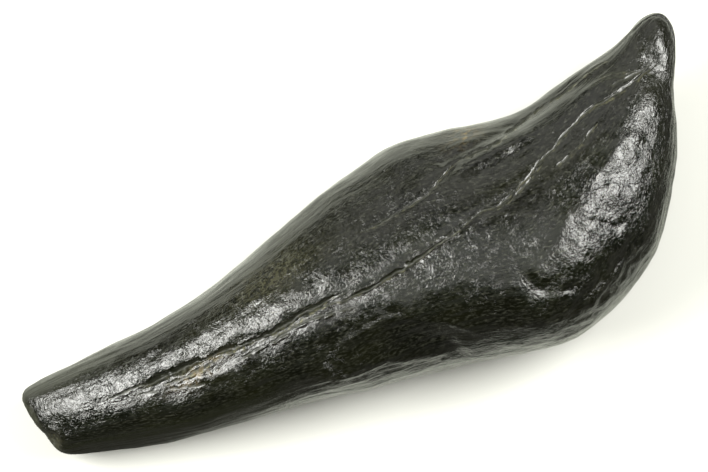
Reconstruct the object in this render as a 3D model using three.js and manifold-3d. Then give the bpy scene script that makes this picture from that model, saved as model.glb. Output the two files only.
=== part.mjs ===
// Fossil sperm whale tooth, one solid of black fossil, lying on its side. Millimetres, +Z up.
//
// The tooth runs along X, from its blunt, worn end at -X to its slim, hooked tip at +X. It swells to its
// widest two thirds of the way along and leans towards -Y there, so the +Y side is slightly hollow.
// Two long furrows run along its upper face. It rests on a flat under the swelling and a smaller one
// under the blunt end. The origin is under the middle of the tooth, on the surface that it rests on.
//
// Points on the tooth are given as [s, y]: s is the distance from the blunt end along the straight line
// to the tip, and y the distance from that line towards +Y.
import * as THREE from 'three';
import { mergeVertices } from 'three/addons/utils/BufferGeometryUtils.js';
import Module from 'manifold-3d';

const LENGTH = 125.8;
const BLUNT_ROUNDING = { length: 2.4, power: 2.8 }; // a flat worn face with a narrow rounded rim
const TIP_ROUNDING = { length: 6.0, power: 2.1 }; // a ball end

// Cross-sections: s, the two side edges' y, the height of the crest and of the belly, how far the crest is
// shifted towards +Y, and the squareness of the upper half on its +Y and on its -Y side: 2 is an ellipse,
// more is boxier, less is leaner. The ends are rounded off afterwards.
const SECTIONS = [
  // s, +Y edge, -Y edge, crest, belly, shift, squareness of the +Y side, of the -Y side
  [0, 7.1, -5.6, 10.7, 0.3, -1.1, 2.65, 2.1],
  [6, 6.5, -8.8, 13.1, -0.3, -1.1, 2.65, 2.0],
  [12, 5.6, -11.8, 15.3, -0.2, -1.15, 2.65, 1.9],
  [20, 4.6, -15.2, 17.8, 0.3, -1.7, 2.6, 1.8],
  [30, 3.8, -18.2, 20.3, 0.7, -2.2, 2.55, 1.8],
  [40, 4.2, -21.2, 22.7, 0.8, -2.4, 2.35, 1.8],
  [50, 5.3, -24.9, 25.3, 0.5, -3.0, 2.0, 1.8],
  [60, 6.9, -28.3, 27.0, -0.1, -3.9, 1.75, 1.75],
  [70, 7.4, -31.7, 28.2, -0.5, -4.6, 1.75, 1.75],
  [76, 7.3, -34.5, 28.8, -0.6, -5.0, 1.9, 1.85],
  [83, 5.0, -36.4, 29.1, -0.5, -4.9, 2.0, 1.95],
  [90, 2.3, -36.2, 28.4, -0.1, -4.15, 2.1, 2.05],
  [96, 0.4, -34.7, 27.2, 0.9, -3.1, 2.1, 2.1],
  [103, 0.6, -31.5, 25.1, 2.6, -2.6, 2.1, 2.15],
  [110, 0.7, -25.3, 22.6, 4.8, -1.85, 2.15, 2.2],
  [116, 0.8, -17.7, 20.0, 6.6, -0.7, 2.2, 2.2],
  [120.5, 1.9, -9.8, 18.4, 7.6, -0.35, 2.2, 2.15],
  [LENGTH, 3.9, -5.0, 17.4, 7.8, 0.0, 2.25, 2.05],
];
const WIDEST_AT = 0.44; // height of the widest point, as a share of the section's height
const UNDER_SQUARENESS = 2.2;

// The furrows, from the blunt end towards the tip. Columns of the mesh follow them.
const MAIN_FURROW = {
  route: [[0, -0.2], [12, -2.6], [20, -4.0], [28, -5.0], [36, -6.3], [42, -7.6], [50, -8.2], [57, -10.1],
    [72, -10.2], [80, -9.9], [86, -10.6], [96, -7.9], [104, -6.3], [116, -6.1], [LENGTH, -2.6]],
  from: 10, to: 119, halfWidth: 0.9, depth: 0.75,
};
const SIDE_FURROW = {
  route: [[0, 2.6], [12, 1.2], [28, -0.6], [42, -1.6], [57, -2.2], [69, -2.8], [79, -2.0], [86, -1.0],
    [98, -1.3], [105, -1.0], [112, -2.2], [LENGTH, -0.6]],
  from: 62, to: 114, halfWidth: 1.0, depth: 0.8,
};

// Low forms of the upper face: a height along a route that falls off over a width on both sides of it.
const UPPER_FORMS = [
  // the rib below the side furrow, and the hollow above it
  { height: 0.55, width: 1.2, route: [[81, -2.4], [87, -2.8], [93, -3.4], [99, -4.3]] },
  { height: -0.4, width: 1.3, route: [[68, 1.4], [75, 1.4], [83, 0.8]] },
  // the chip beside the main furrow
  { height: -0.4, width: 1.4, route: [[22, -6.6], [29, -6.9], [35, -8.0]] },
  // the low crescent on the swelling, and the hollow inside it
  { height: 0.12, width: 0.9, route: [[80, -24.4], [83, -27.4], [87, -29.4], [92, -30.8]] },
  { height: -0.15, width: 1.5, route: [[82, -24.0], [86, -27.0], [91, -29.0]] },
  // the fullness of the swelling beside it
  { height: 0.6, width: 4.0, route: [[76, -26.0], [84, -28.0], [92, -28.0]] },
  // the hollow of the lower flank, and its lip
  { height: -1.2, width: 4.2, route: [[52, -20.8], [60, -23.2], [68, -28.0]] },
  { height: 0.3, width: 1.2, route: [[54, -15.4], [61, -17.0], [67, -21.2], [72, -27.2]] },
  // the shaft is fuller below its crest and hollower above it
  { height: 0.2, width: 3.0, route: [[22, -10.0], [32, -12.0], [42, -14.0]] },
  { height: -0.2, width: 3.5, route: [[20, 2.0], [30, 1.5], [40, 1.5]] },
  { height: -0.15, width: 5.0, route: [[48, 0.0], [64, 1.0], [82, 1.5]] },
  // the shoulder that runs from the swelling to the tip, and the neck of the tip
  { height: 0.4, width: 2.2, route: [[84, -26.0], [89, -22.4], [95, -19.4], [101, -16.6], [108, -13.5],
    [115, -9.2]] },
  { height: -0.8, width: 1.5, route: [[116.4, -13.0], [118.2, -8.6], [119.2, -3.6], [118.6, 0.6]] },
];
// Low forms of the underside: two furrows, and a hollow by the tip.
const UNDER_FORMS = [
  { height: -0.8, width: 1.6, route: [[24, -4.5], [44, -6.0], [60, -3.5], [78, -2.5], [96, -7.5]] },
  { height: -0.7, width: 1.4, route: [[40, -17.0], [56, -21.5], [72, -27.0]] },
  { height: -0.9, width: 3.0, route: [[100, -22.0], [106, -16.0], [111, -11.0]] },
];
// Broad, low unevenness: wavelength along s, waves around the section, and height.
const UNEVENNESS = [
  { wavelength: 31, waves: 3, height: 0.10, phase: 0.4 },
  { wavelength: 17, waves: -2, height: 0.05, phase: 2.1 },
  { wavelength: 11, waves: 4, height: 0.04, phase: 4.0 },
];
const BELLY_EVENNESS = 0.75; // how much of the unevenness is missing underneath, where the tooth rests

// The worn face of the blunt end: a shallow pit, and a chip off its upper rim. y and z are on the face.
const END_PIT = { y: 0.2, z: 4.6, radius: 2.6, depth: 0.7 };
const END_CHIP = { y: -3.0, z: 8.8, radius: 1.9, depth: 1.2 };

// Mesh: rings along the tooth, and columns between the lines that the furrows draw on each ring.
const CAP_RINGS = 8;
const BODY_RINGS = 92;
const COLUMNS = { lowerFlank: 10, furrow: 2, upperFace: 4, upperFlank: 6, underside: 17 };

const TOOTH_BLACK = new THREE.Color(0.016, 0.016, 0.014);

const smoothed = (rows) => {
  const values = rows.flatMap((row) => row.slice(1));
  const spline = new THREE.CubicInterpolant(rows.map((row) => row[0]), values, rows[0].length - 1);
  return (at) => [...spline.evaluate(at)];
};
const sectionSpline = smoothed(SECTIONS);
const signedPower = (value, power) => Math.sign(value) * Math.abs(value) ** power;

// How much of its section the tooth has at s: 0 at the very ends, 1 between the rounded ends.
function endScale(s) {
  const close = (travelled, { length, power }) => {
    const left = THREE.MathUtils.clamp(1 - travelled / length, 0, 1);
    return (1 - left ** power) ** (1 / power);
  };
  return close(s, BLUNT_ROUNDING) * close(LENGTH - s, TIP_ROUNDING);
}

// The section at s: angle 0 is its -Y edge, a quarter turn its crest, a half turn its +Y edge.
function sectionAt(s) {
  const [up, low, crest, belly, shift, upSquareness, lowSquareness] = sectionSpline(s);
  const middle = (up + low) / 2;
  const half = (up - low) / 2;
  const widest = belly + WIDEST_AT * (crest - belly);
  return (angle) => {
    const upper = Math.sin(angle) > 0;
    const across = (1 - Math.cos(angle)) / 2;
    const squareness = upper ? lowSquareness + across * (upSquareness - lowSquareness) : UNDER_SQUARENESS;
    const power = 2 / squareness;
    const rise = Math.abs(Math.sin(angle)) ** power;
    const y = middle - half * signedPower(Math.cos(angle), power) + (upper ? shift * rise * rise : 0);
    return [y, widest + rise * (upper ? crest - widest : belly - widest)];
  };
}

// The angle at which the upper half of a section reaches y.
function angleAt(section, y) {
  let [from, to] = [0, Math.PI];
  while (to - from > 1e-5) {
    const half = (from + to) / 2;
    if (section(half)[0] < y) from = half;
    else to = half;
  }
  return (from + to) / 2;
}

// The angles of a ring's columns, and how deep each column lies in a furrow.
function columnsAt(s, section) {
  const lines = [MAIN_FURROW, SIDE_FURROW].map((furrow) => {
    const [y] = furrow.spline(s);
    const along = THREE.MathUtils.clamp((s - furrow.from) / (furrow.to - furrow.from), 0, 1);
    const fade = Math.sqrt(Math.sin(Math.PI * along));
    const narrow = endScale(s);
    return {
      angles: [-1, 0, 1].map((side) => angleAt(section, y + side * furrow.halfWidth * narrow)),
      depth: furrow.depth * fade,
    };
  });
  const columns = [];
  const stretch = (from, to, count, depths) => {
    for (let i = 0; i < count; i++) {
      const share = i / count;
      const depth = depths[0] + share * (depths[1] - depths[0]);
      columns.push({ angle: from + share * (to - from), depth });
    }
  };
  const [main, side] = lines;
  stretch(0, main.angles[0], COLUMNS.lowerFlank, [0, 0]);
  stretch(main.angles[0], main.angles[1], COLUMNS.furrow, [0, main.depth]);
  stretch(main.angles[1], main.angles[2], COLUMNS.furrow, [main.depth, 0]);
  stretch(main.angles[2], side.angles[0], COLUMNS.upperFace, [0, 0]);
  stretch(side.angles[0], side.angles[1], COLUMNS.furrow, [0, side.depth]);
  stretch(side.angles[1], side.angles[2], COLUMNS.furrow, [side.depth, 0]);
  stretch(side.angles[2], Math.PI, COLUMNS.upperFlank, [0, 0]);
  stretch(Math.PI, 2 * Math.PI, COLUMNS.underside, [0, 0]);
  return columns;
}

// Height that a low form adds at [s, y]: full along its route, fading to nothing at both ends.
function formHeight({ height, width, points }, s, y) {
  const here = new THREE.Vector2(s, y);
  let nearest = Infinity;
  let along = 0;
  for (let i = 0; i + 1 < points.length; i++) {
    const step = points[i + 1].clone().sub(points[i]);
    const share = THREE.MathUtils.clamp(here.clone().sub(points[i]).dot(step) / step.lengthSq(), 0, 1);
    const distance = points[i].clone().addScaledVector(step, share).distanceTo(here);
    if (distance < nearest) [nearest, along] = [distance, (i + share) / (points.length - 1)];
  }
  return height * Math.exp(-((nearest / width) ** 2)) * Math.sqrt(Math.sin(Math.PI * along));
}

// Height that all the low forms and the unevenness add to the section at s.
function lowForms(s, y, angle) {
  const upward = Math.sin(angle);
  let height = 0;
  for (const form of upward > 0 ? UPPER_FORMS : UNDER_FORMS) height += formHeight(form, s, y);
  const share = 1 - BELLY_EVENNESS * Math.max(0, -upward);
  for (const { wavelength, waves, height: amplitude, phase } of UNEVENNESS) {
    height += share * amplitude * Math.sin((2 * Math.PI * s) / wavelength + waves * angle + phase);
  }
  return height;
}

// How far the worn face of the blunt end is set back at [y, z].
function endWear(y, z) {
  const dent = (at) => at.depth * Math.exp(-(((y - at.y) ** 2 + (z - at.z) ** 2) / at.radius ** 2));
  return dent(END_PIT) + dent(END_CHIP);
}

function pointOn(s, section, { angle, depth }) {
  const scale = endScale(s);
  const [y, z] = section(angle);
  const [y1, z1] = section(angle - 1e-3);
  const [y2, z2] = section(angle + 1e-3);
  const outward = new THREE.Vector2(z1 - z2, y2 - y1).normalize();
  const relief = (lowForms(s, y, angle) - depth) * scale;
  const centre = new THREE.Vector2(...section.centre);
  const onSection = new THREE.Vector2(y, z).sub(centre).multiplyScalar(scale).add(centre);
  onSection.addScaledVector(outward, relief);
  const wear = endWear(onSection.x, onSection.y) * Math.max(0, 1 - s / BLUNT_ROUNDING.length);
  return new THREE.Vector3(s + wear, onSection.x, onSection.y);
}

// Ring places: close together on the rounded ends, even between them.
function ringPlaces() {
  const cap = ({ length, power }, ring) => {
    const turn = (Math.PI / 2) * (ring / CAP_RINGS);
    return length * (1 - Math.cos(turn) ** (2 / power));
  };
  const places = [];
  for (let ring = 1; ring < CAP_RINGS; ring++) places.push(cap(BLUNT_ROUNDING, ring));
  const start = BLUNT_ROUNDING.length;
  const body = LENGTH - start - TIP_ROUNDING.length;
  for (let ring = 0; ring <= BODY_RINGS; ring++) places.push(start + (body * ring) / BODY_RINGS);
  for (let ring = CAP_RINGS - 1; ring > 0; ring--) places.push(LENGTH - cap(TIP_ROUNDING, ring));
  return places;
}

// The whole skin as a closed mesh: rings of the same number of columns, and a point at each end.
function toothSkin() {
  for (const furrow of [MAIN_FURROW, SIDE_FURROW]) furrow.spline = smoothed(furrow.route);
  for (const form of [...UPPER_FORMS, ...UNDER_FORMS]) {
    form.points = new THREE.SplineCurve(form.route.map((p) => new THREE.Vector2(...p))).getPoints(16);
  }
  const section = (s) => {
    const at = sectionAt(s);
    at.centre = [(at(0)[0] + at(Math.PI)[0]) / 2, (at(Math.PI / 2)[1] + at(-Math.PI / 2)[1]) / 2];
    return at;
  };
  const rings = ringPlaces().map((s) => {
    const at = section(s);
    return columnsAt(s, at).map((column) => pointOn(s, at, column));
  });
  const pole = (s) => {
    const [y, z] = section(s).centre;
    return new THREE.Vector3(s === 0 ? endWear(y, z) : s, y, z);
  };
  const vertices = [...rings.flat(), pole(0), pole(LENGTH)];
  const around = rings[0].length;
  const bluntPole = vertices.length - 2;
  const tipPole = vertices.length - 1;
  const faces = [];
  for (let column = 0; column < around; column++) {
    const next = (column + 1) % around;
    const last = (rings.length - 1) * around;
    faces.push(bluntPole, column, next, tipPole, last + next, last + column);
    for (let start = 0; start < last; start += around) {
      faces.push(start + column, start + around + column, start + next);
      faces.push(start + next, start + around + column, start + around + next);
    }
  }
  return new THREE.BufferGeometry().setFromPoints(vertices).setIndex(faces);
}

const wasm = await Module();
wasm.setup();

function solidOf(geometry) {
  geometry.deleteAttribute('normal');
  geometry.deleteAttribute('uv');
  const merged = mergeVertices(geometry);
  return new wasm.Manifold(new wasm.Mesh({
    numProp: 3,
    vertProperties: merged.attributes.position.array,
    triVerts: new Uint32Array(merged.index.array),
  }));
}

function geometryOf(solid) {
  const { vertProperties, triVerts } = solid.getMesh();
  const geometry = new THREE.BufferGeometry();
  geometry.setAttribute('position', new THREE.BufferAttribute(vertProperties, 3));
  geometry.setIndex(new THREE.BufferAttribute(triVerts, 1));
  return geometry;
}

// The tooth, cut off flat where it meets the surface it rests on, and centred over the origin.
function toothGeometry() {
  const below = new THREE.BoxGeometry(2 * LENGTH, 2 * LENGTH, 20).translate(0, 0, -10);
  const geometry = geometryOf(solidOf(toothSkin()).subtract(solidOf(below)));
  geometry.computeBoundingBox();
  const centre = geometry.boundingBox.getCenter(new THREE.Vector3());
  geometry.translate(-centre.x, -centre.y, 0);
  geometry.computeVertexNormals();
  return geometry;
}

const tooth = new THREE.Mesh(
  toothGeometry(),
  new THREE.MeshStandardMaterial({ color: TOOTH_BLACK, roughness: 0.35, metalness: 0 }),
);
tooth.name = 'tooth';

const group = new THREE.Group();
group.add(tooth);

export default group;
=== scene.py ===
"""Looks of the fossil sperm whale tooth.

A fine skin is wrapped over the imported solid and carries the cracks, folds, pits and crumpling. Its finish is
a glossy black fossil. The studio round it is plain and pale.
"""

import math

import bpy
import numpy as np
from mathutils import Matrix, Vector, noise
from mathutils.bvhtree import BVHTree


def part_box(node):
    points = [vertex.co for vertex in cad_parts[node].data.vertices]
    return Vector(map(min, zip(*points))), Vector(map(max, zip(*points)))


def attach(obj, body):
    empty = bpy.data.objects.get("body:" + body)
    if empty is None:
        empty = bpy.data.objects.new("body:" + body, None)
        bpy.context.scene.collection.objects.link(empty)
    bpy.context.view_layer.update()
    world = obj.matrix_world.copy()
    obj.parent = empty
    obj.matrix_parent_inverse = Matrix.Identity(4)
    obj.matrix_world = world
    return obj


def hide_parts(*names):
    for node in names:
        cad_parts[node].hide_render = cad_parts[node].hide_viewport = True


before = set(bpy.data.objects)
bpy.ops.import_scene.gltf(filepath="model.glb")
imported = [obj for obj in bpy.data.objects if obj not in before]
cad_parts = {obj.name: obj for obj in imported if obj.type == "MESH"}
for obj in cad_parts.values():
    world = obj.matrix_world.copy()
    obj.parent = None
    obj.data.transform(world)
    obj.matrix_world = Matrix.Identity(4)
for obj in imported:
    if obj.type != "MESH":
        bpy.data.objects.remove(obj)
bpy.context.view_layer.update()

# Lengths below are millimetres. A place on the tooth is (s, y): s runs from the blunt end to the tip, and y
# across, from the straight line between the two ends, towards the hollow side.
MM = 0.001
TOOTH = "tooth"
tooth_low, tooth_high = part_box(TOOTH)
LENGTH = (tooth_high.x - tooth_low.x) / MM
HOLLOW_EDGE = 7.43  # y of the outermost point on the hollow side
ORIGIN = Vector((tooth_low.x, tooth_high.y - HOLLOW_EDGE * MM, 0.0))

# The two ends close over these lengths, the blunt one more squarely.
BLUNT_ROUNDING = 2.4
BLUNT_SQUARENESS = 2.8
TIP_ROUNDING = 6.0
# The tooth's radius at its ends, for the spacing of the rings, and that of the even rod that the streaks run
# along.
END_RADIUS = 6.5
MEAN_RADIUS = 12.0

# The solid's facets are smoothed away first: the grain of the even mesh that replaces it, and how often that
# is relaxed.
VOXEL = 0.6
RELAX_STEPS = 12

# Slices through the smooth form: the step between them, how near a point has to be to count for a slice's
# centre, and the directions in which each slice is measured.
SLICE_STEP = 0.5
SLICE_REACH = 1.0
SLICE_DIRECTIONS = 241

# The skin's grid: rings along the tooth, and bands of columns round each ring. The two furrows have a band
# each, from and to this far across from their lines. At last the rings and the columns are evened out.
RINGS = 540
RING_SAMPLES = 4000  # places that the rings' spacing is worked out from
MAIN_BAND = (-2.8, 1.3)
SIDE_BAND = (-1.0, 1.0)
COLUMNS = {"lower": 60, "main": 30, "between": 12, "side": 16, "upper": 24, "under": 40}
RING_EVENINGS = 6
COLUMN_EVENINGS = 2

# The lines of the two furrows on the upper face, the main one and the one on the hollow side.
MAIN_ROUTE = [
    (0, -0.4), (12, -2.6), (20, -4.0), (28, -5.0), (36, -6.3), (42, -7.6), (50, -8.2), (57, -10.1),
    (72, -10.2), (80, -9.9), (86, -10.6), (96, -7.9), (104, -6.3), (116, -6.1), (LENGTH, -3.0),
]
SIDE_ROUTE = [
    (0, 2.6), (12, 1.2), (28, -0.6), (42, -1.6), (57, -2.2), (65.2, -2.3), (71.7, -3.0), (79.3, -2.0),
    (83.9, -0.5), (89.2, -1.3), (96.5, -1.3), (104.5, -0.9), (109, -1.9), (112, -2.5), (116.4, -3.2),
    (LENGTH, -0.6),
]

# Cracks run along the tooth. Each has the depth and half width of its groove, the height of the lip above it
# and of the lip below it, and how much olive fill lies along its lower lip.
CRACKS = [
    # the open crack of the shaft: a thin start and three lenses in a row
    {"depth": 0.10, "width": 0.14, "lips": (0.02, 0.02), "fill": 0.2,
     "route": [(12, -2.2), (16.3, -3.1), (22, -4.2)]},
    {"depth": 0.75, "width": 0.52, "lips": (0.02, 0.04), "fill": 0.4,
     "route": [(18.5, -4.0), (22.4, -4.3), (26.1, -4.9), (31, -5.8)]},
    {"depth": 0.55, "width": 0.34, "lips": (0.02, 0.05), "fill": 0.6,
     "route": [(29.5, -5.5), (33.4, -6.2), (36.5, -7.0), (41.5, -7.9)]},
    {"depth": 0.55, "width": 0.38, "lips": (0.02, 0.06), "fill": 0.5,
     "route": [(38.5, -7.4), (41.8, -7.9), (44.6, -8.1), (48.5, -8.1), (55.5, -9.0)]},
    # the olive seams beside it, and the bright creases below them
    {"depth": 0.08, "width": 0.16, "lips": (0.03, 0.09), "fill": 1.0,
     "route": [(21.5, -5.2), (25.9, -6.4), (29.7, -6.8), (33.6, -6.9), (37.5, -7.7)]},
    {"depth": 0.07, "width": 0.13, "lips": (0.02, 0.06), "fill": 0.8,
     "route": [(38, -8.2), (44.3, -8.8), (51.1, -9.0), (57, -10.5)]},
    {"depth": 0.10, "width": 0.24, "lips": (0.03, 0.14), "fill": 0.1,
     "route": [(32.5, -8.9), (37.3, -9.0), (40.8, -9.2), (44.1, -9.1), (47.7, -9.4), (51.2, -10.2),
               (57, -12.4)]},
    {"depth": 0.08, "width": 0.18, "lips": (0.08, 0.02), "fill": 0.1,
     "route": [(16.5, -4.2), (19.6, -5.3), (22.0, -6.2), (26.5, -8.3), (31, -9.9)]},
    # the same crack goes on over the swelling, thin, with a bright thread beside it
    {"depth": 0.48, "width": 0.21, "lips": (0.02, 0.03), "fill": 0.45,
     "route": [(53, -9.9), (60.5, -10.7), (65.2, -10.8), (70.4, -10.9), (76, -10.7)]},
    {"depth": 0.24, "width": 0.14, "lips": (0.015, 0.03), "fill": 0.45,
     "route": [(71, -10.9), (74.2, -10.9), (78, -10.4), (81.8, -10), (84.6, -10.8), (87.4, -10.4),
               (91, -9.6), (96, -8)]},
    {"depth": 0.19, "width": 0.12, "lips": (0.01, 0.03), "fill": 0.45,
     "route": [(82.5, -11.0), (85.9, -11.4), (90.1, -10.4), (95.5, -8.7)]},
    {"depth": 0.19, "width": 0.12, "lips": (0.02, 0.01), "fill": 0.45,
     "route": [(91.5, -9.4), (94.2, -8.4), (98.3, -7.4), (102.3, -6.4), (106.3, -5.7), (109, -5.8)]},
    {"depth": 0.35, "width": 0.20, "lips": (0.04, 0.03), "fill": 0.45,
     "route": [(103, -6.2), (106.3, -5.7), (110.9, -6.3), (114.4, -5.9), (119.5, -5.6)]},
    {"depth": 0.16, "width": 0.14, "lips": (0.02, 0.05), "fill": 0.45,
     "route": [(95, -10.8), (99.8, -10.1), (102.8, -9.5), (106.5, -8.2)]},
    # the side crack
    {"depth": 0.35, "width": 0.15, "lips": (0.02, 0.02), "fill": 0.45,
     "route": [(62, -2.2), (65.8, -2.4), (70.4, -2.9), (75.1, -3.1), (78.7, -2.2), (83.5, -0.8)]},
    {"depth": 0.32, "width": 0.20, "lips": (0.07, 0.02), "fill": 0.45,
     "route": [(82, -1.1), (86.9, -1.6), (90.3, -2.0), (96.2, -1.3), (101, -1.1)]},
    {"depth": 0.16, "width": 0.18, "lips": (0.05, 0.02), "fill": 0.45,
     "route": [(97, -1.4), (103.1, -1.2), (109.3, -0.8), (114, -1.0)]},
    # creases that fan from the neck of the tip, the first right across it
    {"depth": 0.13, "width": 0.16, "lips": (0.02, 0.03), "fill": 0.2,
     "route": [(108.5, -2.2), (110.1, -2.5), (112.6, -3.1), (114.7, -4.2), (116.9, -5.7), (118.9, -7.9)]},
    {"depth": 0.08, "width": 0.18, "lips": (0.01, 0.04), "fill": 0.1,
     "route": [(107, -2.6), (110.5, -3.2), (113.8, -4.3), (118, -6)]},
    {"depth": 0.09, "width": 0.18, "lips": (0.01, 0.03), "fill": 0.1,
     "route": [(110, -4.6), (113, -4.8), (116, -5.2), (119.4, -4.9)]},
]
UNDER_CRACKS = [
    {"depth": 0.60, "width": 1.1, "lips": (0.08, 0.08), "fill": 0.6,
     "route": [(18, -4.4), (44, -6.0), (60, -3.5), (78, -2.5), (100, -8.0)]},
    {"depth": 0.50, "width": 1.0, "lips": (0.06, 0.08), "fill": 0.5,
     "route": [(36, -16.2), (56, -21.5), (76, -27.8)]},
    {"depth": 0.40, "width": 0.85, "lips": (0.08, 0.04), "fill": 0.4,
     "route": [(60, -8.6), (76, -12.5), (92, -15.0), (108, -11.6)]},
]

# The section of a crack: how square its groove is and, in shares of its width, where its lips stand and how
# wide they are. The fill has the same, and a little extra width.
GROOVE_SQUARENESS = 2.2
LIP_PLACE = 1.5
LIP_WIDTH = 0.7
FILL_PLACE = 1.1
FILL_WIDTH = 0.55
FILL_EXTRA = 0.05
# The width along a crack, in shares of its own: at its ends, and how much more in its middle.
END_WIDTH = 0.25
MIDDLE_EXTRA = 0.85

# How unevenly the parts of a crack, and the chip, come out: a middle value, the shares of coarse and of fine
# noise that are added to it, and the least and the most that it can be.
WIDTH_CHANGES = (1.0, 0.45, 0.35, 0.0, 2.0)
GROOVE_CHANGES = (0.80, 0.7, 0.4, 0.15, 1.3)
LIP_CHANGES = (0.9, 0.0, 2.8, 0.0, 2.6)
FILL_CHANGES = (0.5, 0.0, 2.4, 0.0, 1.2)
CHIP_CHANGES = (0.7, 1.0, 0.0, 0.0, 1.5)

# Folds are ridges, or hollows where the height is below 0, and rounded across. The width is a half width,
# and "below" is another one for the fold's lower side.
FOLDS = [
    # beside the furrows of the swelling
    {"height": 0.30, "width": 0.9, "route": [(81, -2.6), (87, -3.0), (91, -3.4), (97, -4.2)]},
    {"height": -0.25, "width": 0.9, "route": [(80, -4.4), (87, -4.8), (93, -5.2), (99, -5.8)]},
    {"height": -0.12, "width": 0.9, "route": [(96, -9.4), (99.1, -9.0), (101.3, -8.6), (104.5, -7.9)]},
    {"height": -0.30, "width": 0.7, "route": [(79.5, 0.5), (83.1, 0.2), (86.5, -0.5)]},
    # along the brow of the shaft, below its crack, and on its lower side
    {"height": 0.36, "width": 2.0, "below": 5.0,
     "route": [(12, 1.0), (17, -0.2), (24, -1.8), (31, -2.9), (40, -2.9), (49, -5.3), (54, -7.0)]},
    {"height": 0.22, "width": 0.8, "route": [(26.5, -7.6), (30.5, -8.9), (34, -9.8), (38.5, -10.2)]},
    {"height": -0.42, "width": 2.0, "below": 5.0,
     "route": [(44, -14.6), (52, -15.2), (58, -15.4), (63, -16.4)]},
    # along the shoulder of the swelling, and across its bright area
    {"height": 0.26, "width": 2.0, "below": 4.0,
     "route": [(86, -22.6), (90, -21.3), (96, -18.4), (101, -16.7), (106, -13.8), (112, -10.6)]},
    {"height": -0.22, "width": 0.55,
     "route": [(94.5, -20.9), (96.5, -21.8), (97.3, -23.1), (98.4, -24.3), (101, -24.4)]},
    # the crescent on the swelling: its line, and the valley below it
    {"height": 0.16, "width": 0.32,
     "route": [(80.7, -25.2), (81.4, -26.7), (82.4, -27.9), (85.5, -29.3), (90, -30.4)]},
    {"height": -0.70, "width": 2.5, "below": 6.5,
     "route": [(79.5, -23.2), (83.1, -26.8), (86.5, -29.0), (91, -30.2), (97, -29.9), (103, -28.4)]},
    # the arch on the lower flank: its line, the hollow inside it, and the ridge at the rim
    {"height": 0.17, "width": 0.5,
     "route": [(50, -16.2), (56.8, -16.2), (60.5, -16.9), (66.7, -21.7), (71.5, -27.4)]},
    {"height": -0.35, "width": 1.8,
     "route": [(50, -18.4), (57, -18.8), (61, -20.4), (65, -24.4), (68, -27.6)]},
    {"height": 0.30, "width": 0.9,
     "route": [(44, -20.6), (51.4, -20.8), (55.5, -21.9), (62.7, -26.0), (66.2, -28.2)]},
]
FOLD_CHANGE = 0.6  # what coarse noise adds to a fold's height

# Routes fade in and out over this share of their length.
ROUTE_FADE = 0.15

# Round pits in the surface: centre, radius, depth, and how far the rim stands up.
PITS = [
    (0.9, -3.2, 1.7, 0.30, 0.16), (76.9, -28.5, 0.75, 0.14, 0.16), (80.6, -29.4, 0.55, 0.10, 0.10),
    (89.8, -32.0, 0.40, 0.08, 0.05), (46.8, -16.8, 0.40, 0.05, 0.18), (47.1, -18.2, 0.45, 0.05, 0.20),
    (48.2, -18.9, 0.40, 0.05, 0.18), (70.2, -0.4, 0.60, 0.06, 0.12), (68.6, -11.6, 0.40, 0.08, 0.06),
    (77.0, -12.8, 0.35, 0.08, 0.05),
]
# The section of a pit, in shares of its radius: where its rim stands, how wide that is, and how far out both
# are worked out. The pit itself is nearly flat below, and square at its edge.
RIM_PLACE = 1.15
RIM_WIDTH = 0.3
PIT_REACH = 2.5
PIT_SQUARENESS = 4

# Small dents and specks are scattered over the swelling: their middle, how far they spread along and across,
# and their radius. The depth and the rim are shares of the radius, and a depth below 0 makes a speck.
SCATTERED = {"count": 150, "middle": (70, -16), "spread": (17, 6), "radius": (0.20, 0.45),
             "depth": (-0.20, 0.20), "rim": 0.12}
RANDOM_SEED = 7

# Soft hollows, and swellings where the depth is below 0: centre, radius and depth.
HOLLOWS = [
    (54.2, -5.6, 3.2, -0.40), (93.6, -22.4, 1.6, 0.18), (96.2, -18.8, 1.5, -0.14), (98.6, -21.4, 1.8, 0.22),
    (101.4, -19.4, 1.6, -0.16), (106.5, -15.6, 1.6, -0.14), (114.9, -10.8, 3.0, -0.50),
    (118.6, -5.3, 1.9, 0.32), (120.9, -2.6, 1.5, -0.16), (122.6, 0.4, 1.2, -0.12),
]

# A thin groove runs round the tip's nub: where it starts and where it is full, how high it runs, its depth
# and half width, and how much it wanders.
NUB_GROOVE = {"start": (118.0, 120.0), "height": 14.8, "depth": 0.38, "width": 0.30, "wander": 0.8}

# The worn end: the places between which it stops, how the skin has to face the end, how ragged its edge is,
# and how rough it is with coarse and with fine noise. The chip at its lower corner has a depth and a fill.
WORN_END = (0.6, 1.6)
WORN_FACING = (0.3, 0.7)
WORN_RAGGEDNESS = 0.5
WORN_COARSE = 0.15
WORN_FINE = 0.10
CHIP_DEPTH = 0.6
CHIP_FILL = 0.6

# Spots: centre, and reach along and across.
CHIP = (0.9, -3.4, 1.3, 1.4)
BROWN_SPOTS = [(86.5, 2.0, 2.8, 1.4), (28.5, -7.0, 4.5, 1.1)]
OLIVE_SPOT = (47, -0.5, 8, 2.6)
OLIVE_AMOUNT = 0.20
NECK_SPOT = (117.2, -8.2, 2.0, 1.7)
NECK_DIRT = 0.4
# Spots where small marks crowd, and how crowded they are.
MARKED = [
    ((75.5, -16.5, 3.5, 5.5), 1.0), ((47.8, -17.5, 1.6, 2.4), 2.8), ((60, -12.5, 7, 1.6), 0.6),
    ((84, -27.5, 5, 2.0), 0.7), ((70, -1.0, 2.5, 1.6), 0.8), ((52, -7, 5, 3), 0.6), ((118, -6, 4, 3), 0.7),
]
# Dirt on the sides of the shaft: how much, which side (1 is the hollow side), and the places between which
# it stops.
SIDE_DIRT = [(0.6, -1, (28, 46)), (0.5, 1, (6, 26))]

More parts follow.
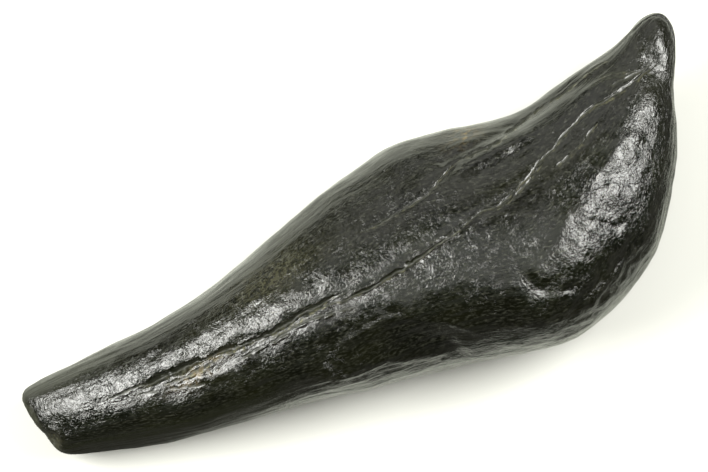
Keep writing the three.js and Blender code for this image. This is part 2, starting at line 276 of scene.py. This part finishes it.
# Which way the skin faces: the two values of its normal, along z and for SIDEWAYS along y, between which a
# share goes from 0 to 1.
UPWARD = (0.0, 0.35)
NEARLY_LEVEL = (0.62, 0.88)
DOWNWARD = (-0.5, -0.1)
SIDEWAYS = (0.35, 0.75)

# Three areas of the skin are calm, and the rest is crumpled: the face above the shoulder of the swelling,
# the brow of the shaft, above its line, and the lower side of the shaft, below the main crack.
SHOULDER = [
    (78, -28), (84, -23.4), (89.8, -21.1), (96, -18.1), (100.8, -16.5), (105.7, -13.5), (113, -9.7),
    (117, -9.6), (124, -3),
]
BROW = [(0, 3.8), (10, 1.9), (17, 0.2), (29, -2.1), (40, -2.3), (49, -4.9), (53, -6.8), (60, -8.5)]
# How calm each area is. Its edge is measured across from its line, and its start and end along the tooth.
FACE = {"calm": 0.85, "edge": (0.0, 0.9), "start": (48, 56)}
BROW_AREA = {"calm": 0.8, "edge": (0.2, 1.4), "end": (60, 66)}
LOWER_SHAFT = {"calm": 0.65, "edge": (-3.0, -1.2), "start": (2, 10), "end": (56, 64)}
# What takes some of the face's calm away: the nub, the hollow side, and the strip below the main crack.
AT_NUB = {"less": 0.25, "start": (116, 119)}
AT_HOLLOW_SIDE = {"less": 0.4, "edge": (-1.0, 3.0)}
BELOW_CRACK = {"less": 0.25, "edge": (-4, -1), "end": (80, 88)}

# Layers of noise: height, size of the lumps along x, y and z, and a seed. The streaks and the furrows of the
# underside take their place from the tooth rolled into an even rod, so they run along it.
COARSE = [(1.0, (2.6, 1.6, 1.6), 1)]
FINE = [(1.0, (0.9, 0.6, 0.6), 2)]
WANDER = [(0.30, (4.5, 3.0, 3.0), 3), (0.26, (1.0, 0.8, 0.8), 4)]
LUMPS = [(0.10, (9, 7, 7), 5), (0.06, (4, 3, 3), 6)]
STREAKS = [(0.12, (14, 1.8, 1.8), 7), (0.09, (6, 0.9, 0.9), 8)]
UNDER_FURROWS = [(0.5, (22, 3.4, 3.4), 11)]
UNDER_DENTS = [(0.2, (5, 3, 3), 12)]
TEXTURE = [(0.03, (2.6, 2.0, 2.0), 9)]
CRUMPLING = [(0.08, (2.6, 2.0, 2.0), 9), (0.10, (5.5, 4.2, 4.2), 10)]
SEED_STEP = (17.3, 5.9, 11.1)
STREAKS_ON_TOP = 0.25  # the share of the streaks' height that is left on the level skin
CALM_ENDS = 3.0  # lumps and streaks fade over this length at both ends


def smoothstep(edge_low, edge_high, value):
    share = np.clip((value - edge_low) / (edge_high - edge_low), 0, 1)
    return share * share * (3 - 2 * share)


def spot(s, y, centre_s, centre_y, along, across):
    """1 at the spot's centre, falling to 0 round it."""
    return np.exp(-(((s - centre_s) / along) ** 2 + ((y - centre_y) / across) ** 2))


def layered(points, layers):
    """The layers' smooth noise, each about as high as its height either way, at points in millimetres."""
    total = 0.0
    for height, size, seed in layers:
        offset = Vector([seed * step for step in SEED_STEP])
        values = [noise.noise(Vector(point) + offset) for point in points / np.array(size)]
        total = total + height * np.array(values)
    return total


def changing(changes, coarse, fine):
    """A middle value with shares of coarse and fine noise added, kept between its least and its most."""
    middle, coarse_share, fine_share, least, most = changes
    return np.clip(middle + coarse_share * coarse + fine_share * fine, least, most)


# ---------------------------------------------------------------- the skin's mesh


def smooth_form():
    """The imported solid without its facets, as a tree to find nearest points on, and its vertices."""
    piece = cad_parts[TOOTH].copy()
    piece.data = piece.data.copy()
    piece.parent = None
    bpy.context.scene.collection.objects.link(piece)
    remesh = piece.modifiers.new("even", "REMESH")
    remesh.mode = "VOXEL"
    remesh.voxel_size = VOXEL * MM
    relax = piece.modifiers.new("relax", "SMOOTH")
    relax.factor = 0.5
    relax.iterations = RELAX_STEPS
    rounding = piece.modifiers.new("round", "SUBSURF")
    rounding.levels = 1
    rounding.render_levels = 1
    evaluated = piece.evaluated_get(bpy.context.evaluated_depsgraph_get()).to_mesh()
    vertices = np.array([vertex.co for vertex in evaluated.vertices])
    faces = [tuple(face.vertices) for face in evaluated.polygons]
    tree = BVHTree.FromPolygons(vertices.tolist(), faces)
    bpy.data.objects.remove(piece)
    return tree, vertices


def end_scale(s):
    """Share of its section that the tooth has at s: 1 between its rounded ends, 0 at the very ends."""
    blunt = np.clip(s / BLUNT_ROUNDING, 0, 1)
    tip = np.clip((LENGTH - s) / TIP_ROUNDING, 0, 1)
    square = BLUNT_SQUARENESS
    return (1 - (1 - blunt) ** square) ** (1 / square) * np.sqrt(1 - (1 - tip) ** 2)


def ring_places():
    """Places along the tooth that are evenly spaced over its outside, round both ends."""
    s = LENGTH * (1 - np.cos(np.linspace(0, np.pi, RING_SAMPLES))) / 2
    steps = np.hypot(np.diff(s), END_RADIUS * np.diff(end_scale(s)))
    travelled = np.concatenate([[0], np.cumsum(steps)])
    return np.interp(np.linspace(0, travelled[-1], RINGS + 2)[1:-1], travelled, s)


def contours(tree, vertices):
    """Slices across the tooth: their places and centres, and the angles and points round each one."""
    slices = np.arange(BLUNT_ROUNDING, LENGTH - TIP_ROUNDING, SLICE_STEP)
    angles = np.linspace(0, 2 * np.pi, SLICE_DIRECTIONS)
    directions = [Vector((0, -math.cos(angle), math.sin(angle))) for angle in angles]
    centres = []
    rounds = []
    for s in slices:
        x = ORIGIN.x + s * MM
        near = vertices[np.abs(vertices[:, 0] - x) < SLICE_REACH * MM]
        centre = (near.min(0) + near.max(0))[1:] / 2
        start = Vector((x, *centre))
        hits = [tree.ray_cast(start, direction)[0] for direction in directions]
        centres.append(centre)
        rounds.append([(hit.y, hit.z) for hit in hits])
    return slices, np.array(centres), angles, np.array(rounds)


def column_angles(angles, outline, s):
    """The angles of one ring's columns: even steps round the outline, between the furrows' bands."""
    upper = angles <= np.pi
    across = np.maximum.accumulate((outline[upper, 0] - ORIGIN.y) / MM)
    main = np.interp(s, *zip(*MAIN_ROUTE))
    side = np.interp(s, *zip(*SIDE_ROUTE))
    edges = [main + MAIN_BAND[0], main + MAIN_BAND[1], side + SIDE_BAND[0], side + SIDE_BAND[1]]
    anchors = [0, *np.interp(edges, across, angles[upper]), np.pi, 2 * np.pi]
    travelled = np.concatenate([[0], np.cumsum(np.hypot(*np.diff(outline, axis=0).T))])
    columns = []
    for start, end, count in zip(anchors, anchors[1:], COLUMNS.values()):
        bounds = np.interp([start, end], angles, travelled)
        columns.append(np.linspace(*bounds, count, endpoint=False))
    return np.interp(np.concatenate(columns), travelled, angles)


def skin_grid():
    """The skin before its detail: an array of rings of columns of points, and the two end points."""
    tree, vertices = smooth_form()
    slices, centres, angles, rounds = contours(tree, vertices)
    tip = vertices[vertices[:, 0].argmax()]
    rings = []
    for s in ring_places():
        inside = np.clip(s, slices[0], slices[-1])
        index = np.clip(np.searchsorted(slices, inside) - 1, 0, len(slices) - 2)
        share = (inside - slices[index]) / (slices[index + 1] - slices[index])
        outline = rounds[index] * (1 - share) + rounds[index + 1] * share
        centre = centres[index] * (1 - share) + centres[index + 1] * share
        turned = column_angles(angles, outline, inside)
        ring = np.stack([np.interp(turned, angles, outline[:, axis]) for axis in (0, 1)], 1)
        towards_tip = np.clip((s - slices[-1]) / TIP_ROUNDING, 0, 1)
        middle = centre + towards_tip * (tip[1:] - centre)
        ring = middle + (ring - centre) * end_scale(s)
        rings.append([tree.find_nearest((ORIGIN.x + s * MM, y, z))[0] for y, z in ring])
    blunt = tree.find_nearest((tooth_low.x, *centres[0]))[0]
    return evened(np.array(rings)), np.array(blunt), tip


def evened(grid):
    """The grid with the last unevenness between neighbouring rings and columns taken out."""
    for _ in range(RING_EVENINGS):
        grid[1:-1] = grid[1:-1] / 2 + (grid[:-2] + grid[2:]) / 4
    for _ in range(COLUMN_EVENINGS):
        before, after = np.roll(grid, 1, 1), np.roll(grid, -1, 1)
        gap_before = np.linalg.norm(grid - before, axis=2, keepdims=True)
        gap_after = np.linalg.norm(after - grid, axis=2, keepdims=True)
        between = (before * gap_after + after * gap_before) / (gap_before + gap_after)
        grid = (grid + between) / 2
    return grid


def grid_normals(grid):
    """Outward normals of the grid's points."""
    around = np.roll(grid, -1, 1) - np.roll(grid, 1, 1)
    along = np.gradient(grid, axis=0)
    normals = np.cross(along, around)
    normals /= np.linalg.norm(normals, axis=2, keepdims=True)
    return normals


def grid_lay(grid):
    """Where each point is on the tooth rolled into an even rod, in millimetres."""
    steps = np.linalg.norm(np.roll(grid, -1, 1) - grid, axis=2)
    turn = 2 * np.pi * (np.cumsum(steps, 1) - steps) / steps.sum(1, keepdims=True)
    along = (grid[..., 0] - ORIGIN.x) / MM
    return np.stack([along, MEAN_RADIUS * np.cos(turn), MEAN_RADIUS * np.sin(turn)], 2)


# ---------------------------------------------------------------- the skin's relief


def across_from(line, s, y):
    """How far y is from the line at s, positive on the hollow side."""
    return y - np.interp(s, *zip(*line))


def offset_from(route, s, y):
    """How far (s, y) is from the route, positive on the hollow side, and how much of it is here: 0 to 1."""
    places, across = zip(*route)
    slope = np.interp(s + 0.5, places, across) - np.interp(s - 0.5, places, across)
    fade = ROUTE_FADE * (places[-1] - places[0])
    here = smoothstep(places[0], places[0] + fade, s) * (1 - smoothstep(places[-1] - fade, places[-1], s))
    return across_from(route, s, y) / np.hypot(1, slope), here


def crack_relief(crack, s, y, coarse, fine):
    """Height of one crack's groove and lips, how dark it is, and how much olive fill it holds."""
    off, here = offset_from(crack["route"], s, y)
    start, end = crack["route"][0][0], crack["route"][-1][0]
    along = np.clip((s - start) / (end - start), 0, 1)
    width = crack["width"] * (END_WIDTH + MIDDLE_EXTRA * np.sin(np.pi * along))
    width = width * changing(WIDTH_CHANGES, coarse, fine)
    groove = np.exp(-np.abs(off / width) ** GROOVE_SQUARENESS) * changing(GROOVE_CHANGES, coarse, fine)
    above, below = crack["lips"]
    upper_lip = np.exp(-(((off - LIP_PLACE * width) / (LIP_WIDTH * width)) ** 2))
    lower_lip = np.exp(-(((off + LIP_PLACE * width) / (LIP_WIDTH * width)) ** 2))
    lips = (above * upper_lip + below * lower_lip) * changing(LIP_CHANGES, coarse, fine)
    fill = np.exp(-(((off + FILL_PLACE * width) / (FILL_WIDTH * width + FILL_EXTRA)) ** 2))
    fill = crack["fill"] * fill * changing(FILL_CHANGES, coarse, fine)
    return here * (lips - crack["depth"] * groove), here * groove, here * fill


def cracks_relief(s, y, coarse, fine, sides):
    """Height of all the cracks, how dark they are, and how much olive fill they hold.

    sides holds each list of cracks with the share that says where it is. Every second crack takes the noise
    upside down, so that neighbours don't widen together.
    """
    height = np.zeros_like(s)
    dark = np.zeros_like(s)
    olive = np.zeros_like(s)
    for cracks, side in sides:
        for number, crack in enumerate(cracks):
            turned = 1 - 2 * (number % 2)
            relief, groove, fill = crack_relief(crack, s, y, turned * coarse, turned * fine)
            height += relief * side
            dark = np.maximum(dark, groove * side)
            olive = np.maximum(olive, fill * side)
    return height, dark, olive


def fold_relief(fold, s, y, coarse):
    off, here = offset_from(fold["route"], s, y)
    width = np.where(off > 0, fold["width"], fold.get("below", fold["width"]))
    return here * fold["height"] * (1 + FOLD_CHANGE * coarse) * np.exp(-((off / width) ** 2))


def pit_relief(pits, s, y):
    """Round dents with raised rims."""
    height = np.zeros_like(s)
    for centre_s, centre_y, radius, depth, rim in pits:
        near = np.abs(s - centre_s) < PIT_REACH * radius
        reach = np.hypot(s[near] - centre_s, y[near] - centre_y) / radius
        height[near] += rim * np.exp(-(((reach - RIM_PLACE) / RIM_WIDTH) ** 2))
        height[near] -= depth * np.exp(-(reach**PIT_SQUARENESS))
    return height


def scattered_pits():
    """Small dents and specks, most of them on the broad upper face of the swelling."""
    random = np.random.default_rng(RANDOM_SEED)
    middle_s, middle_y = SCATTERED["middle"]
    spread_s, spread_y = SCATTERED["spread"]
    pits = []
    for _ in range(SCATTERED["count"]):
        s = random.normal(middle_s, spread_s)
        y = random.normal(middle_y, spread_y)
        radius = random.uniform(*SCATTERED["radius"])
        depth = random.uniform(*SCATTERED["depth"]) * radius
        pits.append((s, y, radius, depth, SCATTERED["rim"] * radius))
    return pits


def hollow_relief(s, y):
    height = np.zeros_like(s)
    for centre_s, centre_y, radius, depth in HOLLOWS:
        height -= depth * spot(s, y, centre_s, centre_y, radius, radius)
    return height


def nub_relief(s, z, wander):
    """The thin groove round the tip's nub."""
    off_groove = z - NUB_GROOVE["height"] + NUB_GROOVE["wander"] * wander
    groove = np.exp(-((off_groove / NUB_GROOVE["width"]) ** 2))
    return -NUB_GROOVE["depth"] * smoothstep(*NUB_GROOVE["start"], s) * groove


def calmness(s, y):
    """How calm the skin is, from 0 where it is crumpled."""
    off_crack = across_from(MAIN_ROUTE, s, y)
    face = smoothstep(*FACE["edge"], across_from(SHOULDER, s, y)) * smoothstep(*FACE["start"], s)
    face = face * (1 - AT_NUB["less"] * smoothstep(*AT_NUB["start"], s))
    hollow_side = smoothstep(*AT_HOLLOW_SIDE["edge"], y)
    below_crack = 1 - smoothstep(*BELOW_CRACK["edge"], off_crack)
    below_crack = below_crack * (1 - smoothstep(*BELOW_CRACK["end"], s))
    face = face * (1 - AT_HOLLOW_SIDE["less"] * hollow_side - BELOW_CRACK["less"] * below_crack)
    brow = smoothstep(*BROW_AREA["edge"], across_from(BROW, s, y)) * (1 - smoothstep(*BROW_AREA["end"], s))
    shaft = smoothstep(*LOWER_SHAFT["start"], s) * (1 - smoothstep(*LOWER_SHAFT["end"], s))
    lower_shaft = shaft * (1 - smoothstep(*LOWER_SHAFT["edge"], off_crack))
    areas = [FACE["calm"] * face, BROW_AREA["calm"] * brow, LOWER_SHAFT["calm"] * lower_shaft]
    return np.max(areas, axis=0)


def dirt_beside(s, y, normals, top):
    """Dirt on the sides of the shaft and at the neck of the tip."""
    dirt = NECK_DIRT * spot(s, y, *NECK_SPOT) * top
    for amount, side, end in SIDE_DIRT:
        there = smoothstep(*SIDEWAYS, side * normals[:, 1]) * (1 - smoothstep(*end, s))
        dirt = np.maximum(dirt, amount * there)
    return dirt


def skin_relief(points, normals, lay):
    """Height of all the detail at the grid's points, and the shares that the finish is painted by."""
    place = (points - np.array(ORIGIN)) / MM
    top = smoothstep(*UPWARD, normals[:, 2])
    under = smoothstep(*UPWARD, -normals[:, 2])
    coarse = layered(place, COARSE)
    fine = layered(place, FINE)
    wander = layered(place, WANDER)
    s = place[:, 0]
    y = place[:, 1] + wander

    height, dirt, olive = cracks_relief(s, y, coarse, fine, ((CRACKS, top), (UNDER_CRACKS, under)))
    for fold in FOLDS:
        height += fold_relief(fold, s, y, coarse) * top
    height += (pit_relief(PITS + scattered_pits(), s, place[:, 1]) + hollow_relief(s, y)) * top
    height += nub_relief(s, place[:, 2], wander)

    body = smoothstep(0, CALM_ENDS, s) * (1 - smoothstep(LENGTH - CALM_ENDS, LENGTH, s))
    flank = 1 - smoothstep(*NEARLY_LEVEL, normals[:, 2])
    streaks = layered(lay, STREAKS) * (STREAKS_ON_TOP + (1 - STREAKS_ON_TOP) * flank)
    height += (layered(place, LUMPS) + streaks) * body
    beneath = body * (1 - smoothstep(*DOWNWARD, normals[:, 2]))
    height -= beneath * (np.abs(layered(lay, UNDER_FURROWS)) + np.abs(layered(place, UNDER_DENTS)))
    crumpled = 1 - calmness(s, y)
    height += layered(place, TEXTURE) + crumpled * layered(place, CRUMPLING)

    worn = 1 - smoothstep(*WORN_END, s + WORN_RAGGEDNESS * coarse)
    worn = worn * smoothstep(*WORN_FACING, -normals[:, 0])
    height += worn * (WORN_COARSE * coarse + WORN_FINE * fine)
    chip = spot(s, y, *CHIP) * top
    height -= CHIP_DEPTH * chip * changing(CHIP_CHANGES, coarse, fine)

    dirt = np.maximum(dirt, dirt_beside(s, y, normals, top))
    olive = np.max([olive, CHIP_FILL * chip, OLIVE_AMOUNT * spot(s, y, *OLIVE_SPOT) * top], axis=0)
    brown = np.clip(sum(spot(s, y, *where) for where in BROWN_SPOTS) * top, 0, 1)
    marked = np.max([crowd * spot(s, y, *where) * top for where, crowd in MARKED], axis=0)
    shares = {"dirt": dirt, "olive": olive, "brown": brown, "worn": worn}
    return height, {**shares, "flank": flank, "marked": marked, "crumpled": crumpled}


def skin_faces(around):
    """Faces of the grid's rings, each of so many points around, and of the two closed ends after them."""
    faces = []
    for ring in range(RINGS - 1):
        for column in range(around):
            near = ring * around + column
            beside = ring * around + (column + 1) % around
            faces.append((near, near + around, beside + around, beside))
    last = (RINGS - 1) * around
    blunt_end = RINGS * around
    for column in range(around):
        beside = (column + 1) % around
        faces.append((blunt_end, column, beside))
        faces.append((blunt_end + 1, last + beside, last + column))
    return faces


def make_skin():
    """The tooth's visible skin."""
    grid, blunt, tip = skin_grid()
    normals = grid_normals(grid).reshape(-1, 3)
    lay = grid_lay(grid).reshape(-1, 3)
    points = grid.reshape(-1, 3)
    height, shares = skin_relief(points, normals, lay)
    points = points + normals * height[:, None] * MM
    points[:, 2] = np.maximum(points[:, 2], 0)
    mesh = bpy.data.meshes.new("tooth_skin")
    mesh.from_pydata([*points.tolist(), blunt.tolist(), tip.tolist()], [], skin_faces(grid.shape[1]))
    mesh.polygons.foreach_set("use_smooth", [True] * len(mesh.polygons))
    for name, values in shares.items():
        attribute = mesh.attributes.new(name, "FLOAT", "POINT")
        attribute.data.foreach_set("value", np.append(values, [0, 0]).astype(np.float32))
    attribute = mesh.attributes.new("lay", "FLOAT_VECTOR", "POINT")
    ends = [(0, 0, 0), (LENGTH, 0, 0)]
    attribute.data.foreach_set("vector", np.vstack([lay, ends]).astype(np.float32).ravel())
    mesh.update()
    piece = bpy.data.objects.new("tooth_skin", mesh)
    bpy.context.scene.collection.objects.link(piece)
    return piece


# ---------------------------------------------------------------- materials

# The fossil's colours: its black and the lighter patches in it, the streaks and the mottling over them, and
# what lies in the furrows, in the stains and on the worn end.
BLACK = (0.0008, 0.0009, 0.0003)
PATCH = (0.0034, 0.0036, 0.0010)
STREAK = (0.0065, 0.0067, 0.0052)
MOTTLE = (0.036, 0.037, 0.028)
DIRT = (0.006, 0.007, 0.001)
OLIVE = (0.13, 0.125, 0.070)
BROWN = (0.085, 0.058, 0.018)
WORN = (0.030, 0.031, 0.018)
WORN_COVER = 0.7

# Streaks and silk are noise that is drawn out along the tooth, the mottling less so.
STREAKY = (0.12, 1, 1)
MOTTLED = (0.3, 1, 1)

ROUGHNESS = 0.06
ROUGHER = {"crackle": 0.08, "dull": 0.07, "dirt": 0.45, "olive": 0.25, "worn": 0.35}

# Fine bumps: their height in millimetres everywhere, and what is added to it where a share is 1.
BUMPS = {
    "silk": (0.028, "flank", 0.08),
    "grain": (0.004, "flank", 0.0),
    "creases": (-0.006, "crumpled", -0.044),
    "crackle": (-0.006, "crumpled", -0.010),
    "lumps": (0.009, "crumpled", 0.028),
    "marks": (0.014, "marked", 0.065),
}
FOSSIL_IOR = 1.55

# Where the Mix node has its colours, as it has sockets of the same name for other kinds of data.
MIX_FIRST = 6
MIX_SECOND = 7
MIX_RESULT = 2


class Nodes:
    """The node tree of a material or a world, with short calls to add nodes and link them."""

    def __init__(self, owner, shader):
        owner.use_nodes = True
        self.tree = owner.node_tree
        self.shader = self.tree.nodes[shader]

    def put(self, value, socket):
        """Links an output to the socket, or sets the socket to a number, a vector or a colour."""
        if isinstance(value, bpy.types.NodeSocket):
            self.tree.links.new(value, socket)
        elif socket.type == "RGBA":
            socket.default_value = (*value, 1)
        else:
            socket.default_value = value

    def add(self, kind, inputs=(), **settings):
        node = self.tree.nodes.new(kind)
        for key, value in settings.items():
            setattr(node, key, value)
        for key, value in dict(inputs).items():
            self.put(value, node.inputs[key])
        return node

    def math(self, operation, first, second=0.0, third=0.0):
        inputs = {0: first, 1: second, 2: third}
        return self.add("ShaderNodeMath", inputs, operation=operation).outputs[0]

    def scaled(self, place, scale):
        return self.add("ShaderNodeMapping", {"Vector": place, "Scale": scale}).outputs["Vector"]

    def noise(self, place, scale, detail=2.0, roughness=0.5, distortion=0.0):
        inputs = {
            "Vector": place, "Scale": scale, "Detail": detail, "Roughness": roughness,
            "Distortion": distortion,
        }
        return self.add("ShaderNodeTexNoise", inputs).outputs["Fac"]

    def ramp(self, factor, low, high, **settings):
        """0 below low, 1 above high, and even between. With low above high it is turned round."""
        inputs = {"Value": factor, "From Min": low, "From Max": high}
        return self.add("ShaderNodeMapRange", inputs, **settings).outputs["Result"]

    def patches(self, place, edges, **noise_settings):
        """Patches of noise, which set in between two values of it."""
        return self.ramp(self.noise(place, **noise_settings), *edges)

    def wrinkles(self, place, scale, width, distortion):
        """1 along wandering thin lines, falling to 0 at a width on both sides of them."""
        waves = self.noise(place, scale, distortion=distortion)
        away = self.math("ABSOLUTE", self.math("SUBTRACT", waves, 0.5))
        return self.ramp(away, width, 0.0, interpolation_type="SMOOTHSTEP")

    def mix(self, factor, first, second):
        inputs = {"Factor": factor, MIX_FIRST: first, MIX_SECOND: second}
        return self.add("ShaderNodeMix", inputs, data_type="RGBA").outputs[MIX_RESULT]

    def total(self, parts):
        """Sum of (output, factor) pairs."""
        result = 0.0
        for output, factor in parts:
            result = self.math("MULTIPLY_ADD", output, factor, result)
        return result


def fossil_colour(nodes, place, lay, shares):
    """Black, streaked along the tooth and mottled, with dirt, olive and brown in its furrows."""
    patches = nodes.patches(place, (0.4, 0.7), scale=0.12, detail=3.0)
    colour = nodes.mix(patches, BLACK, PATCH)
    mottled = nodes.patches(nodes.scaled(lay, MOTTLED), (0.49, 0.78), scale=3.6, detail=4.0, roughness=0.7)
    colour = nodes.mix(mottled, colour, MOTTLE)
    streaked = nodes.patches(nodes.scaled(lay, STREAKY), (0.50, 0.72), scale=1.4, detail=3.0, roughness=0.6)
    colour = nodes.mix(streaked, colour, STREAK)
    colour = nodes.mix(shares["dirt"], colour, DIRT)
    broken = nodes.patches(place, (0.40, 0.58), scale=1.6, detail=4.0, roughness=0.65)
    colour = nodes.mix(nodes.math("MULTIPLY", shares["olive"], broken), colour, OLIVE)
    stained = nodes.patches(place, (0.45, 0.70), scale=0.9, detail=4.0, roughness=0.6)
    colour = nodes.mix(nodes.math("MULTIPLY", shares["brown"], stained), colour, BROWN)
    return nodes.mix(nodes.math("MULTIPLY", shares["worn"], WORN_COVER), colour, WORN)


def fossil_material():
    """Glossy black fossil, finely wrinkled."""
    material = bpy.data.materials.new("black_fossil")
    nodes = Nodes(material, "Principled BSDF")
    place = nodes.scaled(nodes.add("ShaderNodeTexCoord").outputs["Object"], (1 / MM,) * 3)
    lay = nodes.add("ShaderNodeAttribute", attribute_name="lay").outputs["Vector"]
    names = ("dirt", "olive", "brown", "worn", "flank", "marked", "crumpled")
    shares = {name: nodes.add("ShaderNodeAttribute", attribute_name=name).outputs["Fac"] for name in names}
    nodes.put(fossil_colour(nodes, place, lay, shares), nodes.shader.inputs["Base Color"])

    crackle = nodes.wrinkles(place, scale=1.8, width=0.18, distortion=1.5)
    dull = nodes.patches(place, (0.52, 0.68), scale=0.45, detail=3.0)
    kinds = {**shares, "crackle": crackle, "dull": dull}
    rougher = nodes.total([(kinds[name], more) for name, more in ROUGHER.items()])
    nodes.put(nodes.math("ADD", rougher, ROUGHNESS), nodes.shader.inputs["Roughness"])

    loose_marks = nodes.wrinkles(place, scale=1.0, width=0.10, distortion=2.0)
    crowds = nodes.patches(place, (0.52, 0.62), scale=0.8, detail=3.0)
    bumps = {
        "silk": nodes.noise(nodes.scaled(lay, STREAKY), scale=1.6, roughness=0.6, distortion=0.3),
        "grain": nodes.noise(place, scale=3.2),
        "creases": nodes.wrinkles(place, scale=0.75, width=0.25, distortion=1.2),
        "crackle": crackle,
        "lumps": nodes.noise(place, scale=0.7, distortion=0.5),
        "marks": nodes.math("MULTIPLY", loose_marks, crowds),
    }
    relief = []
    for name, (everywhere, share, more) in BUMPS.items():
        relief.append((bumps[name], nodes.total([(shares[share], more), (1.0, everywhere)])))
    bump = nodes.add("ShaderNodeBump", {"Height": nodes.total(relief), "Distance": MM, "Strength": 1.0})
    nodes.put(bump.outputs["Normal"], nodes.shader.inputs["Normal"])
    nodes.put(FOSSIL_IOR, nodes.shader.inputs["IOR"])
    return material


# ---------------------------------------------------------------- studio

PICTURE_ROLL = math.radians(33.14)  # the tooth's slant in the picture
LENS = 200.0
SENSOR = 36.0
PICTURE_WIDTH = 117.75  # what the picture's width covers at the height of the tooth's outline
OUTLINE_HEIGHT = 12.0
PICTURE_CENTRE = (61.98, -2.1)

# Lights: direction in the picture (right, up, towards the camera), then distance and size in metres, and
# brightness, of which 1 is that of a white surface in the picture.
LIGHT_COLOUR = (1.0, 1.0, 0.955)
SOFTBOXES = [
    ("left", (-0.738, 0.091, 0.669), 0.55, (0.34, 0.29), 20.5),
    ("right", (0.622, 0.315, 0.717), 0.55, (0.32, 0.30), 18.0),
    ("overhead", (0.0, 0.10, 1.0), 0.75, (0.70, 0.60), 1.1),
    ("back", (-0.1, 0.85, 0.45), 0.65, (0.8, 0.40), 0.95),
]
FILL = (0.070, 0.074, 0.050)
BACKDROP = (0.9, 0.9, 0.89)

# The floor: half its side and its drop below the tooth in metres, its roughness, and the colour that the
# camera sees.
FLOOR_REACH = 2.0
FLOOR_DROP = 0.0001
FLOOR_ROUGHNESS = 0.9
FLOOR_COLOUR = (0.57, 0.57, 0.545)
# What the tooth reflects of the floor: pale round the tooth, and painted dark beyond lines in front of it and
# on the right. The dark is painted shade that only reflections show: the camera sees the floor pale there. A
# line: the direction across it in the picture, and the two distances along that, in metres, at which the
# reflected floor is dark and pale.
FLOOR_PALE = (0.53, 0.545, 0.485)
# painted shade: the colour of the reflected floor beyond the lines
REFLECTED_FLOOR_SHADE = (0.045, 0.045, 0.037)
REFLECTED_SHADE_EDGES = [
    ((-0.22, 1.0), -0.039, -0.026),
    ((0.35, 1.0), -0.044, -0.030),
    ((-0.6, 1.0), -0.0405, -0.0370),
    ((-1.0, 0.1), -0.0610, -0.0565),
]


def picture_direction(right, up, towards):
    """A direction given as the picture shows it, in the scene's own axes."""
    cosine, sine = math.cos(PICTURE_ROLL), math.sin(PICTURE_ROLL)
    return Vector((right * cosine + up * sine, -right * sine + up * cosine, towards)).normalized()


def add_camera():
    """A camera that looks straight down, turned so that the tooth slants as in the picture."""
    camera = bpy.data.objects.new("camera", bpy.data.cameras.new("camera"))
    camera.data.lens = LENS
    camera.data.sensor_width = SENSOR
    away = PICTURE_WIDTH * LENS / SENSOR + OUTLINE_HEIGHT
    camera.location = ORIGIN + Vector((*PICTURE_CENTRE, away)) * MM
    camera.rotation_euler = (0, 0, -PICTURE_ROLL)
    bpy.context.scene.collection.objects.link(camera)
    bpy.context.scene.camera = camera


def add_softboxes():
    centre = (tooth_low + tooth_high) / 2
    for name, direction, distance, size, brightness in SOFTBOXES:
        light = bpy.data.lights.new(name, "AREA")
        light.shape = "RECTANGLE"
        light.size, light.size_y = size
        light.energy = brightness * math.pi * size[0] * size[1]
        light.color = LIGHT_COLOUR
        lamp = bpy.data.objects.new(name, light)
        towards = picture_direction(*direction)
        lamp.location = centre + towards * distance
        lamp.rotation_euler = towards.to_track_quat("Z", "Y").to_euler()
        lamp.visible_camera = False
        bpy.context.scene.collection.objects.link(lamp)


def add_world():
    """Dim grey all round, but pale where the camera sees it."""
    world = bpy.data.worlds.new("studio")
    nodes = Nodes(world, "Background")
    seen = nodes.add("ShaderNodeLightPath").outputs["Is Camera Ray"]
    nodes.put(nodes.mix(seen, FILL, BACKDROP), nodes.shader.inputs["Color"])
    bpy.context.scene.world = world


def floor_material():
    """A pale floor. In the tooth's reflections it is painted dark beyond set lines: painted shade that the
    camera doesn't see.
    """
    material = bpy.data.materials.new("white_sweep")
    nodes = Nodes(material, "Principled BSDF")
    place = nodes.add("ShaderNodeTexCoord").outputs["Object"]
    share = 1.0
    for direction, dark, pale in REFLECTED_SHADE_EDGES:
        across = picture_direction(*direction, 0)
        along = nodes.add("ShaderNodeVectorMath", {0: place, 1: across}, operation="DOT_PRODUCT")
        share = nodes.math("MULTIPLY", nodes.ramp(along.outputs["Value"], dark, pale), share)
    # painted shade: only what the tooth reflects of the floor is darkened beyond the lines
    reflected = nodes.mix(share, REFLECTED_FLOOR_SHADE, FLOOR_PALE)
    seen = nodes.add("ShaderNodeLightPath").outputs["Is Camera Ray"]
    nodes.put(nodes.mix(seen, reflected, FLOOR_COLOUR), nodes.shader.inputs["Base Color"])
    nodes.put(FLOOR_ROUGHNESS, nodes.shader.inputs["Roughness"])
    return material


def add_floor():
    mesh = bpy.data.meshes.new("floor")
    corners = [(x * FLOOR_REACH, y * FLOOR_REACH, 0) for x, y in ((-1, -1), (1, -1), (1, 1), (-1, 1))]
    mesh.from_pydata(corners, [], [(0, 1, 2, 3)])
    mesh.materials.append(floor_material())
    floor = bpy.data.objects.new("floor", mesh)
    floor.location.z = -FLOOR_DROP
    bpy.context.scene.collection.objects.link(floor)


skin = make_skin()
skin.data.materials.append(fossil_material())
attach(skin, "root")
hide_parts(TOOTH)

add_camera()
add_softboxes()
add_world()
add_floor()
bpy.context.scene.view_settings.view_transform = "Standard"
